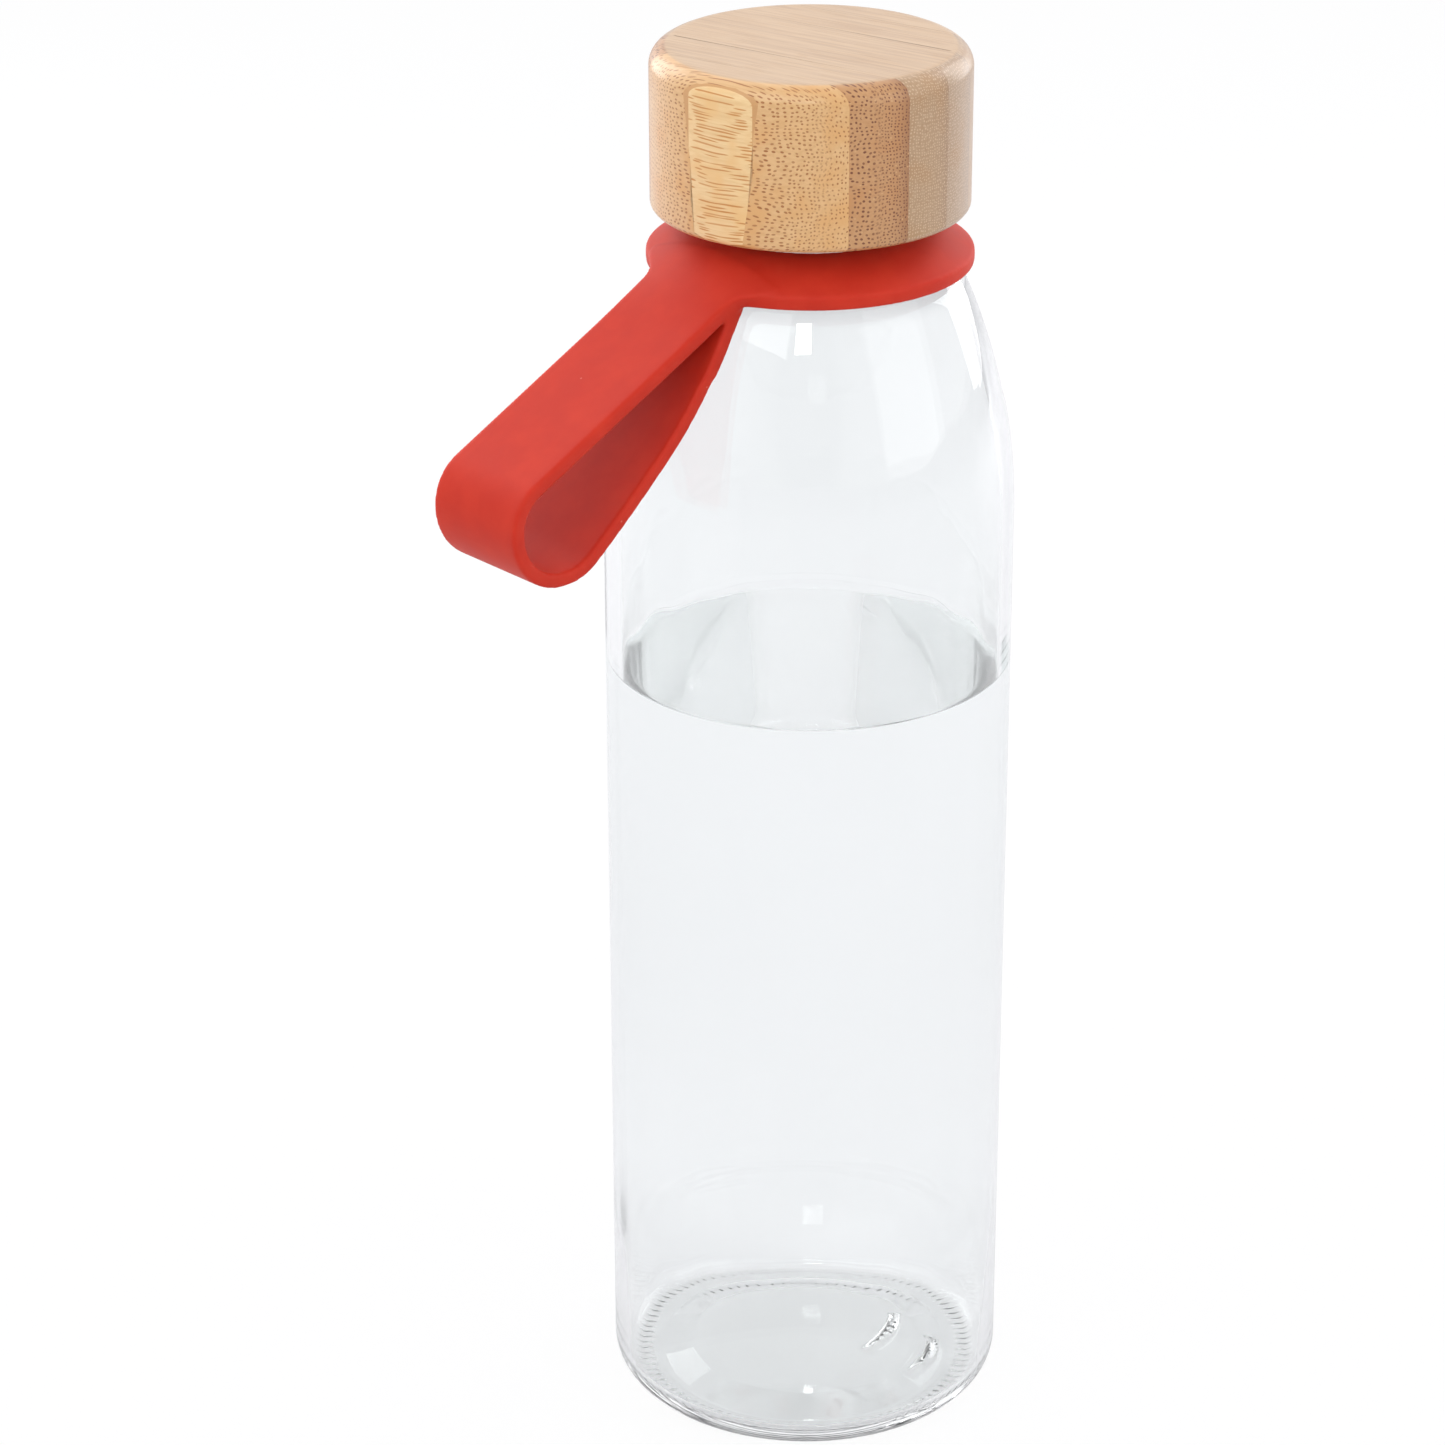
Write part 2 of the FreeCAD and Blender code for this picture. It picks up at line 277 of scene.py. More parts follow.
def material(name):
    """A new material with its tree, its Principled shader and a Texture Coordinate node."""
    mat = bpy.data.materials.new(name)
    mat.use_nodes = True
    tree = mat.node_tree
    return mat, tree, tree.nodes["Principled BSDF"], tree.nodes.new("ShaderNodeTexCoord")


def bump(tree, shader, height, strength, distance):
    node = tree.nodes.new("ShaderNodeBump")
    node.inputs["Strength"].default_value = strength
    node.inputs["Distance"].default_value = distance
    tree.links.new(height, node.inputs["Height"])
    tree.links.new(node.outputs["Normal"], shader.inputs["Normal"])


def fibre_group():
    """Bamboo: bundles of fibre that run along Y, wide apart at low Fade, close together at high Fade.

    Position is in millimetres, with X across the strip, Y along the fibres and Z up.
    """
    tree, given, made = group("bamboo_fibres", [
        ("Position", "NodeSocketVector", None),
        ("Fade", "NodeSocketFloat", 0.5),
        ("Across", "NodeSocketFloat", 1.0),
        ("Up", "NodeSocketFloat", 1.0),
    ], [("Bundles", "NodeSocketFloat"), ("Flecks", "NodeSocketFloat"), ("Streaks", "NodeSocketFloat"),
        ("Blotches", "NodeSocketFloat")])
    slow = tree.nodes.new("ShaderNodeVectorMath")
    slow.operation = "MULTIPLY"
    slow.inputs[1].default_value = (0.14, 0.06, 0.14)
    tree.links.new(given.outputs["Position"], slow.inputs[0])
    drift = tree.nodes.new("ShaderNodeTexNoise")
    drift.inputs["Scale"].default_value = 1.0
    drift.inputs["Detail"].default_value = 2.0
    tree.links.new(slow.outputs["Vector"], drift.inputs["Vector"])
    nudge = tree.nodes.new("ShaderNodeVectorMath")
    nudge.operation = "MULTIPLY_ADD"
    nudge.inputs[1].default_value = (2.0, 0.0, 2.0)
    tree.links.new(drift.outputs["Color"], nudge.inputs[0])
    tree.links.new(given.outputs["Position"], nudge.inputs[2])
    apart = tree.nodes.new("ShaderNodeSeparateXYZ")
    tree.links.new(nudge.outputs["Vector"], apart.inputs["Vector"])
    section = tree.nodes.new("ShaderNodeCombineXYZ")
    tree.links.new(maths(tree, "MULTIPLY", apart.outputs["X"], given.outputs["Across"]), section.inputs["X"])
    tree.links.new(maths(tree, "MULTIPLY", apart.outputs["Z"], given.outputs["Up"]), section.inputs["Y"])
    layers = []
    flecks = None
    for spacing, dot in ((0.84, 0.165), (0.68, 0.155), (0.54, 0.130)):
        cells = tree.nodes.new("ShaderNodeTexVoronoi")
        cells.voronoi_dimensions = "2D"
        cells.inputs["Scale"].default_value = 1 / spacing
        cells.inputs["Randomness"].default_value = 0.5
        tree.links.new(section.outputs["Vector"], cells.inputs["Vector"])
        share = dot / spacing
        spot = ramp(tree, cells.outputs["Distance"], share * 1.25, share * 0.8)
        picked = tree.nodes.new("ShaderNodeSeparateColor")
        tree.links.new(cells.outputs["Color"], picked.inputs["Color"])
        pale = maths(tree, "LESS_THAN", picked.outputs["Red"], 0.035)
        flecks = maths(tree, "MULTIPLY", spot, pale)
        depth = maths(tree, "MULTIPLY_ADD", picked.outputs["Green"], 0.3, 0.7)
        dark = maths(tree, "MULTIPLY", spot, maths(tree, "SUBTRACT", 1.0, pale))
        layers.append(maths(tree, "MULTIPLY", dark, depth))
    wide, middle, close = layers
    first = tree.nodes.new("ShaderNodeMix")
    second = tree.nodes.new("ShaderNodeMix")
    tree.links.new(ramp(tree, given.outputs["Fade"], 0.30, 0.42), first.inputs[0])
    tree.links.new(wide, first.inputs[2])
    tree.links.new(middle, first.inputs[3])
    tree.links.new(ramp(tree, given.outputs["Fade"], 0.62, 0.74), second.inputs[0])
    tree.links.new(first.outputs[0], second.inputs[2])
    tree.links.new(close, second.inputs[3])
    tree.links.new(second.outputs[0], made.inputs["Bundles"])
    tree.links.new(flecks, made.inputs["Flecks"])
    thin = tree.nodes.new("ShaderNodeVectorMath")
    thin.operation = "MULTIPLY"
    thin.inputs[1].default_value = (1.0, 0.025, 1.0)
    tree.links.new(given.outputs["Position"], thin.inputs[0])
    tree.links.new(noise(tree, thin.outputs["Vector"], 1.6, 5.0, 0.65), made.inputs["Streaks"])
    tree.links.new(noise(tree, given.outputs["Position"], 0.16, 2.0), made.inputs["Blotches"])
    return tree


def specks_group():
    """Small separate specks of dust: 1 on a speck, 0 elsewhere."""
    tree, given, made = group("dust_specks", [
        ("Position", "NodeSocketVector", None),
        ("Spacing", "NodeSocketFloat", 1.0),
        ("Amount", "NodeSocketFloat", 0.2),
    ], [("Specks", "NodeSocketFloat")])
    cells = tree.nodes.new("ShaderNodeTexVoronoi")
    tree.links.new(given.outputs["Position"], cells.inputs["Vector"])
    tree.links.new(given.outputs["Spacing"], cells.inputs["Scale"])
    near = ramp(tree, cells.outputs["Distance"], 0.11, 0.05)
    pick = maths(tree, "LESS_THAN", cells.outputs["Color"], given.outputs["Amount"])
    tree.links.new(maths(tree, "MULTIPLY", near, pick), made.inputs["Specks"])
    return tree


def place_group(tree, shared, **values):
    node = tree.nodes.new("ShaderNodeGroup")
    node.node_tree = shared
    for label, value in values.items():
        if isinstance(value, (int, float, tuple)):
            node.inputs[label].default_value = value
        else:
            tree.links.new(value, node.inputs[label])
    return node


# =====================================================================
# Materials
# =====================================================================

def clear_glass():
    """Soda glass with a faint green tint, clear to lamps so that it casts no hard shadow."""
    mat, tree, shader, places = material("soda_glass")
    shader.inputs["Base Color"].default_value = (0.985, 0.998, 0.994, 1)
    shader.inputs["Roughness"].default_value = 0.0
    shader.inputs["IOR"].default_value = 1.5
    shader.inputs["Transmission Weight"].default_value = 1.0
    long = tree.nodes.new("ShaderNodeVectorMath")
    long.operation = "MULTIPLY"
    long.inputs[1].default_value = (1.0, 1.0, 0.12)
    tree.links.new(places.outputs["Object"], long.inputs[0])
    bump(tree, shader, noise(tree, long.outputs["Vector"], 60, 1.0), 0.25, 0.2 * mm)
    let_lamps_through(tree, shader)
    return mat


def let_lamps_through(tree, shader):
    """Clear to the lamps' shadow rays, and the given shader to all others."""
    path = tree.nodes.new("ShaderNodeLightPath")
    open_ = tree.nodes.new("ShaderNodeBsdfTransparent")
    both = tree.nodes.new("ShaderNodeMixShader")
    output = [n for n in tree.nodes if n.type == "OUTPUT_MATERIAL"][0]
    tree.links.new(path.outputs["Is Shadow Ray"], both.inputs["Fac"])
    tree.links.new(shader.outputs["BSDF"], both.inputs[1])
    tree.links.new(open_.outputs["BSDF"], both.inputs[2])
    tree.links.new(both.outputs["Shader"], output.inputs["Surface"])


def still_water():
    """Clear water: its surface mirrors a little, and its sides bend light less towards the foot."""
    top = bpy.data.materials.new("water_surface")
    top.use_nodes = True
    shader = top.node_tree.nodes["Principled BSDF"]
    shader.inputs["Base Color"].default_value = (1, 1, 1, 1)
    shader.inputs["Roughness"].default_value = 0.0
    shader.inputs["IOR"].default_value = 1.333
    shader.inputs["Transmission Weight"].default_value = 1.0
    let_lamps_through(top.node_tree, shader)
    side = bpy.data.materials.new("water_side")
    side.use_nodes = True
    tree = side.node_tree
    bend = tree.nodes.new("ShaderNodeBsdfRefraction")
    places = tree.nodes.new("ShaderNodeTexCoord")
    apart = tree.nodes.new("ShaderNodeSeparateXYZ")
    tree.links.new(places.outputs["Object"], apart.inputs["Vector"])
    strength = ramp(tree, apart.outputs["Z"], 0.1 * water_level, 0.6 * water_level)
    tree.links.new(maths(tree, "MULTIPLY_ADD", strength, 0.333, 1.0001), bend.inputs["IOR"])
    bend.inputs["Roughness"].default_value = 0.0
    bend.inputs["Color"].default_value = (1, 1, 1, 1)
    tree.nodes.remove(tree.nodes["Principled BSDF"])
    let_lamps_through(tree, bend)
    return top, side


def bamboo(name, fibres, strip, left, right, seed):
    """One strip of the cap, with its upper face sanded pale.

    The strip is a pale and a brown colour, how much its right side darkens, how close its bundles lie
    at its left and at its right side, and how fine they are across and up.
    """
    pale, brown, edge, close_from, close_to, across, up = strip
    mat, tree, shader, places = material(name)
    turn = tree.nodes.new("ShaderNodeMapping")
    turn.vector_type = "TEXTURE"
    turn.inputs["Rotation"].default_value = (0, 0, grain_turn - math.pi / 2)
    tree.links.new(places.outputs["Object"], turn.inputs["Vector"])
    grow = tree.nodes.new("ShaderNodeVectorMath")
    grow.operation = "MULTIPLY_ADD"
    grow.inputs[1].default_value = (1 / mm,) * 3
    grow.inputs[2].default_value = (0, seed * 40, seed * 3)
    tree.links.new(turn.outputs["Vector"], grow.inputs[0])
    apart = tree.nodes.new("ShaderNodeSeparateXYZ")
    tree.links.new(turn.outputs["Vector"], apart.inputs["Vector"])
    share = tree.nodes.new("ShaderNodeMapRange")
    tree.links.new(maths(tree, "MULTIPLY", apart.outputs["X"], -1.0), share.inputs["Value"])
    share.inputs["From Min"].default_value = left
    share.inputs["From Max"].default_value = right
    fade = maths(tree, "MULTIPLY_ADD", share.outputs["Result"], close_to - close_from, close_from)
    grain = place_group(tree, fibres, Position=grow.outputs["Vector"], Fade=fade, Across=across, Up=up)
    streaks = ramp(tree, grain.outputs["Streaks"], 0.38, 0.68)
    streaky = mixed(tree, streaks, pale, dimmed(pale, 0.90, 0.85, 0.78))
    blotches = ramp(tree, grain.outputs["Blotches"], 0.42, 0.72)
    warm = mixed(tree, blotches, streaky, dimmed(pale, 0.95, 0.84, 0.68))
    toward = maths(tree, "POWER", share.outputs["Result"], 5.0)
    darker = mixed(tree, maths(tree, "MULTIPLY", toward, edge), warm, dimmed(pale, 0.52, 0.40, 0.30))
    inked = mixed(tree, grain.outputs["Bundles"], darker, brown)
    flecks = maths(tree, "MULTIPLY", grain.outputs["Flecks"], edge)
    flecked = mixed(tree, flecks, inked, dimmed(pale, 1.1, 1.2, 1.3))
    glue_line = ramp(tree, share.outputs["Result"], 0.993, 0.997)
    glued = mixed(tree, glue_line, flecked, dimmed(pale, 0.70, 0.52, 0.38))
    sanded = mixed(tree, ramp(tree, grain.outputs["Streaks"], 0.40, 0.66), (0.60, 0.385, 0.205, 1),
                   (0.48, 0.285, 0.14, 1))
    lines = maths(tree, "MULTIPLY", grain.outputs["Bundles"], 0.16)
    lined = mixed(tree, lines, sanded, (0.42, 0.22, 0.10, 1))
    crown = ramp(tree, apart.outputs["Z"], cap_high.z - 0.16 * mm, cap_high.z - 0.02 * mm)
    tree.links.new(mixed(tree, crown, glued, lined), shader.inputs["Base Color"])
    tree.links.new(maths(tree, "MULTIPLY_ADD", grain.outputs["Bundles"], 0.15, 0.40),
                   shader.inputs["Roughness"])
    shader.inputs["Specular IOR Level"].default_value = 0.45
    shader.inputs["Coat Weight"].default_value = 0.7
    shader.inputs["Coat Roughness"].default_value = 0.28
    pits = maths(tree, "MULTIPLY_ADD", grain.outputs["Bundles"], -0.7, grain.outputs["Streaks"])
    bump(tree, shader, pits, 0.3, 0.08 * mm)
    return mat


def dimmed(colour, red, green, blue):
    return (min(1, colour[0] * red), min(1, colour[1] * green), min(1, colour[2] * blue), 1)


def red_silicone(specks):
    mat, tree, shader, places = material("red_silicone")
    soft = noise(tree, places.outputs["Object"], 160, 3.0)
    tone = mixed(tree, ramp(tree, soft, 0.3, 0.75), (0.56, 0.026, 0.010, 1), (0.61, 0.034, 0.014, 1))
    dust = place_group(tree, specks, Position=places.outputs["Object"], Spacing=520.0, Amount=0.10)
    dusty = mixed(tree, maths(tree, "MULTIPLY", dust.outputs["Specks"], 0.45), tone, (0.80, 0.30, 0.24, 1))
    tree.links.new(dusty, shader.inputs["Base Color"])
    tree.links.new(maths(tree, "MULTIPLY_ADD", soft, 0.12, 0.48), shader.inputs["Roughness"])
    shader.inputs["Specular IOR Level"].default_value = 0.20
    shader.inputs["Subsurface Weight"].default_value = 0.25
    shader.inputs["Subsurface Radius"].default_value = (1.0, 0.12, 0.08)
    shader.inputs["Subsurface Scale"].default_value = 1.6 * mm
    shader.inputs["Sheen Weight"].default_value = 0.03
    shader.inputs["Sheen Roughness"].default_value = 0.5
    shader.inputs["Sheen Tint"].default_value = (1.0, 0.55, 0.45, 1)
    fine = noise(tree, places.outputs["Object"], 2600, 2.0)
    bump(tree, shader, fine, 0.18, 0.03 * mm)
    return mat


def liner_plastic():
    mat, tree, shader, places = material("liner_plastic")
    cloud = noise(tree, places.outputs["Object"], 220, 2.0)
    tone = mixed(tree, cloud, (0.78, 0.77, 0.73, 1), (0.86, 0.85, 0.82, 1))
    tree.links.new(tone, shader.inputs["Base Color"])
    tree.links.new(maths(tree, "MULTIPLY_ADD", cloud, 0.15, 0.36), shader.inputs["Roughness"])
    bump(tree, shader, noise(tree, places.outputs["Object"], 1800, 2.0), 0.15, 0.03 * mm)
    return mat


def seal_silicone(specks):
    mat, tree, shader, places = material("seal_silicone")
    cloud = noise(tree, places.outputs["Object"], 300, 2.0)
    dust = place_group(tree, specks, Position=places.outputs["Object"], Spacing=500.0, Amount=0.08)
    tone = mixed(tree, cloud, (0.80, 0.80, 0.78, 1), (0.88, 0.88, 0.86, 1))
    dusty = mixed(tree, dust.outputs["Specks"], tone, (0.6, 0.6, 0.58, 1))
    tree.links.new(dusty, shader.inputs["Base Color"])
    tree.links.new(maths(tree, "MULTIPLY_ADD", cloud, 0.1, 0.5), shader.inputs["Roughness"])
    return mat


# =====================================================================
# Modelling helpers
# =====================================================================

def arc(centre, radius, first, last, steps):
    """Points (r, z) on an arc round centre, from angle first to last in radians, both ends included."""
    points = []
    for step in range(steps + 1):
        angle = first + (last - first) * step / steps
        points.append((centre[0] + radius * math.cos(angle), centre[1] + radius * math.sin(angle)))
    return points


def run(start, end, steps):
    """Points (r, z) on a straight line, without its start."""
    return [(start[0] + (end[0] - start[0]) * s / steps, start[1] + (end[1] - start[1]) * s / steps)
            for s in range(1, steps + 1)]


def turned(name, rings, around, ends="JOINED"):
    """A round body drawn out ring by ring, each ring a radius and a height.

    Its ends are JOINED to each other, closed by FLAT faces, or drawn to a POLE.
    """
    bpy.ops.object.select_all(action="DESELECT")
    radius, height = rings[0]
    bpy.ops.mesh.primitive_circle_add(vertices=around, radius=radius, location=(0, 0, height))
    piece = bpy.context.object
    piece.name = name
    bpy.ops.object.transform_apply(location=True, rotation=True, scale=True)
    bpy.ops.object.mode_set(mode="EDIT")
    bpy.ops.mesh.select_all(action="SELECT")
    if ends == "FLAT":
        bpy.ops.mesh.edge_face_add()
    if ends == "POLE":
        bpy.ops.mesh.extrude_region_move(TRANSFORM_OT_translate={"value": (0, 0, 0)})
        bpy.ops.mesh.select_all(action="INVERT")
        bpy.ops.mesh.merge(type="CENTER")
        bpy.ops.mesh.select_all(action="INVERT")
    for (r0, z0), (r1, z1) in zip(rings, rings[1:]):
        bpy.ops.mesh.extrude_region_move(TRANSFORM_OT_translate={"value": (0, 0, z1 - z0)})
        bpy.ops.transform.resize(value=(r1 / r0, r1 / r0, 1), center_override=(0, 0, z1))
    if ends == "POLE":
        bpy.ops.mesh.merge(type="CENTER")
    if ends == "JOINED":
        bpy.ops.mesh.select_all(action="SELECT")
        bpy.ops.mesh.remove_doubles(threshold=0.002 * mm)
    bpy.ops.mesh.select_all(action="SELECT")
    bpy.ops.mesh.normals_make_consistent(inside=False)
    bpy.ops.object.mode_set(mode="OBJECT")
    return piece


def finish_piece(piece, mat, smooth_degrees=40):
    bpy.ops.object.select_all(action="DESELECT")
    piece.select_set(True)
    bpy.context.view_layer.objects.active = piece
    piece.data.materials.clear()
    piece.data.materials.append(mat)
    bpy.ops.object.shade_smooth_by_angle(angle=math.radians(smooth_degrees))


# =====================================================================
# Glass vessel and water
# =====================================================================

shoulder_centre = (body_radius - shoulder_radius, shoulder_start)
shoulder_end_r = neck_radius + crown_step
shoulder_lean = math.acos((shoulder_end_r - shoulder_centre[0]) / shoulder_radius)


def wave(angle, height):
    """How far the blown inside wall wanders from round."""
    slow = 0.10 * math.sin(2 * angle + 0.7) + 0.07 * math.sin(5 * angle + 12 * height)
    quick = 0.045 * math.sin(11 * angle + 1.9 - 9 * height) + 0.02 * math.sin(23 * angle + 5 * height)
    return (slow + quick) * mm


def outside_rings():
    """From the middle of the base, round the heel and up the wall to the neck and the lip."""
    bearing = body_radius - heel_radius
    rings = [(0.8 * mm, push_up)]
    middle_steps = 30
    for step in range(1, middle_steps + 1):
        r = punt_ring * step / middle_steps
        rings.append((max(r, 0.9 * mm), push_up - 1.35 * mm * (r / punt_ring) ** 2))
    rings.append((punt_ring + 0.6 * mm, push_up - 1.5 * mm))
    rings += run(rings[-1], (bearing - bearing_width, 0.15 * mm), 9)
    rings += run(rings[-1], (bearing, 0.15 * mm), 5)
    rings += arc((bearing, heel_radius), heel_radius, -math.pi / 2, 0, 12)[1:]
    rings += run(rings[-1], (body_radius, shoulder_start), 8)
    rings += arc(shoulder_centre, shoulder_radius, 0, shoulder_lean, 20)[1:]
    end_r, end_z = rings[-1]
    centre = (end_r - crown_radius * math.cos(shoulder_lean), end_z - crown_radius * math.sin(shoulder_lean))
    rings += arc(centre, crown_radius, shoulder_lean, slope_lean, 5)[1:]
    fillet_r = neck_radius + neck_fillet
    slope_end_r = fillet_r - neck_fillet * math.cos(slope_lean)
    slope_end_z = rings[-1][1] + (rings[-1][0] - slope_end_r) / math.tan(slope_lean)
    fillet = (fillet_r, slope_end_z + neck_fillet * math.sin(slope_lean))
    rings += arc(fillet, neck_fillet, math.pi + slope_lean, math.pi, 4)
    rings.append((neck_radius, bead_low))
    for step in range(1, 9):
        swell = math.sin(math.pi * step / 8)
        rings.append((neck_radius + bead_projection * swell, bead_low + bead_height * step / 8))
    lip_z = neck_high.z - lip_radius
    rings += run(rings[-1], (neck_radius, lip_z), 40)
    rings += arc((neck_radius - lip_radius, lip_z), lip_radius, 0, math.pi / 2, 5)[1:]
    return rings, fillet


def inside_rings(fillet):
    """From the lip down the bore and the wall to the middle of the floor."""
    bore = neck_radius - neck_wall
    lip_z = neck_high.z - lip_radius
    rings = arc((bore + lip_radius, lip_z), lip_radius, math.pi / 2, math.pi, 5)
    rings += arc(fillet, neck_fillet + neck_wall, math.pi, math.pi + slope_lean, 8)
    inner_lean = shoulder_lean - wall / shoulder_radius
    rings += arc(shoulder_centre, shoulder_radius - wall, inner_lean, 0, 16)
    rings += floor_rings(body_radius - wall, 14)
    return rings


def floor_rings(radius, wall_steps):
    """The straight inside wall down to the dished floor."""
    corner = (radius - inner_heel, floor_edge + inner_heel)
    rings = run((radius, shoulder_start), (radius, corner[1]), wall_steps)
    rings += arc(corner, inner_heel, 0, -math.pi / 2, 9)[1:]
    edge_r = rings[-1][0]
    for step in range(1, 14):
        r = edge_r * (1 - step / 13.5)
        rings.append((r, floor_edge + (floor_middle - floor_edge) * (1 - (r / edge_r) ** 2)))
    return rings


def thread_swell(angle, height):
    """How far the thread stands out of the neck at a place on it."""
    swell = 0.0
    for lap in range(3):
        turned_by = angle + 2 * math.pi * lap
        if turned_by > 2 * math.pi * thread_turns:
            continue
        middle = thread_start + thread_pitch * turned_by / (2 * math.pi)
        away = abs(height - middle)
        rise = (thread_root_half - away) / (thread_root_half - thread_crest_half)
        from_end = min(turned_by, 2 * math.pi * thread_turns - turned_by)
        fade = min(1.0, from_end / thread_run_out)
        swell = max(swell, min(1.0, max(0.0, rise)) * fade)
    return thread_height * swell


def rib(x, y, start, end):
    """Height of a short curved mould rib at a place on the base."""
    along = Vector((end[0] - start[0], end[1] - start[1]))
    share = ((x - start[0]) * along.x + (y - start[1]) * along.y) / along.length_squared
    if share < 0 or share > 1:
        return 0.0
    bow = 1.4 * mm * math.sin(math.pi * share)
    side = ((x - start[0]) * along.y - (y - start[1]) * along.x) / along.length
    away = abs(side - bow)
    return math.exp(-(away / rib_half_width) ** 2) * math.sin(math.pi * share) ** 0.5


def shape_glass(piece):
    """Adds the thread, the knurl round the bearing ring, the mould ribs and the uneven inside wall."""
    bearing = body_radius - heel_radius
    bore = neck_radius - neck_wall
    ribs = (
        ((3.4 * mm, -11.5 * mm), (16.3 * mm, -4.8 * mm)),
        ((5.0 * mm, -20.3 * mm), (16.3 * mm, -14.1 * mm)),
    )
    for vertex in piece.data.vertices:
        x, y, z = vertex.co
        r = math.hypot(x, y)
        if r < 1e-6:
            continue
        angle = math.atan2(y, x) % (2 * math.pi)
        outward = Vector((x / r, y / r, 0))
        if abs(r - neck_radius) < 0.02 * mm and z > bead_low + bead_height:
            vertex.co += outward * thread_swell(angle, z)
        elif z < knurl_reach and r > bearing - 0.8 * mm:
            ridge = 0.5 + 0.5 * math.cos(knurl_count * angle)
            vertex.co.z += knurl_height * ridge * max(0, 1 - z / knurl_reach)
        elif r < 24.4 * mm and z < push_up + 0.1 * mm:
            lift = sum(rib(x, y, *ends) for ends in ribs)
            vertex.co.z += rib_depth * lift
        elif wave_foot < z < wave_head and bore < r < body_radius - 0.8 * wall:
            share = min(1, (z - wave_foot) / wave_fade, (wave_head - z) / wave_fade)
            vertex.co += outward * wave(angle, z) * share


def make_glass(mat):
    """The whole vessel as one piece of glass."""
    outer, fillet = outside_rings()
    piece = turned("glass_vessel", outer + inside_rings(fillet), sides, ends="POLE")
    shape_glass(piece)
    finish_piece(piece, mat, 50)
    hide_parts("glass_bottle", "glass_neck")
    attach(piece, "bottle")


def make_water(surface, side):
    """The water in the bottle, a hair wider than the bore so that it wets the glass."""
    wet = 0.04 * mm
    radius = body_radius - wall + wet
    rings = [(0.8 * mm, water_level)] + run((0.8 * mm, water_level), (radius - 2.2 * mm, water_level), 14)
    for step in range(1, 8):
        share = step / 7
        rings.append((radius - 2.2 * mm * (1 - share), water_level + 0.7 * mm * share ** 3))
    corner = (radius - inner_heel, floor_edge + inner_heel)
    rings += run(rings[-1], (radius, corner[1]), 12)
    rings += [(r, z - wet) for r, z in floor_rings(radius, 1)[1:]]
    piece = turned("water", rings, 192, ends="POLE")
    for vertex in piece.data.vertices:
        x, y, z = vertex.co
        r = math.hypot(x, y)
        if z > wave_foot and r > radius - 0.1 * mm:
            share = min(1, (z - wave_foot) / wave_fade)
            vertex.co += Vector((x / r, y / r, 0)) * wave(math.atan2(y, x) % (2 * math.pi), z) * share
    finish_piece(piece, surface, 50)
    piece.data.materials.append(side)
    for face in piece.data.polygons:
        face.material_index = int(face.center.z < water_level - 0.01 * mm)


# =====================================================================
# Bamboo cap
# =====================================================================

def bamboo_block():
    """The turned block: its outside with rounded edges, and the bore for the liner."""
    flat = cap_radius - top_round
    rings = [(flat - 0.4 * mm, cap_high.z)]
    rings += arc((flat, cap_high.z - top_round), top_round, math.pi / 2, 0, 10)
    rings += run(rings[-1], (cap_radius, cap_low.z + foot_round), 4)
    rings += arc((cap_radius - foot_round, cap_low.z + foot_round), foot_round, 0, -math.pi / 2, 6)[1:]
    rings.append((bore_radius, cap_low.z))
    rings.append((bore_radius, bore_roof))
    return turned("bamboo_block", rings, 192, ends="FLAT")


def cut(piece, distance, lean, keep_far):
    """Cuts a piece at a glue plane and closes it, keeping the far side or the near one."""
    across = Vector((-math.sin(grain_turn), math.cos(grain_turn), 0))
    normal = across * math.cos(lean) + Vector((0, 0, math.sin(lean)))
    middle = across * distance + Vector((0, 0, (cap_low.z + cap_high.z) / 2))
    bpy.ops.object.select_all(action="DESELECT")
    piece.select_set(True)
    bpy.context.view_layer.objects.active = piece
    bpy.ops.object.mode_set(mode="EDIT")
    bpy.ops.mesh.select_all(action="SELECT")
    bpy.ops.mesh.bisect(plane_co=middle, plane_no=normal, use_fill=True,
                        clear_inner=keep_far, clear_outer=not keep_far)
    bpy.ops.object.mode_set(mode="OBJECT")


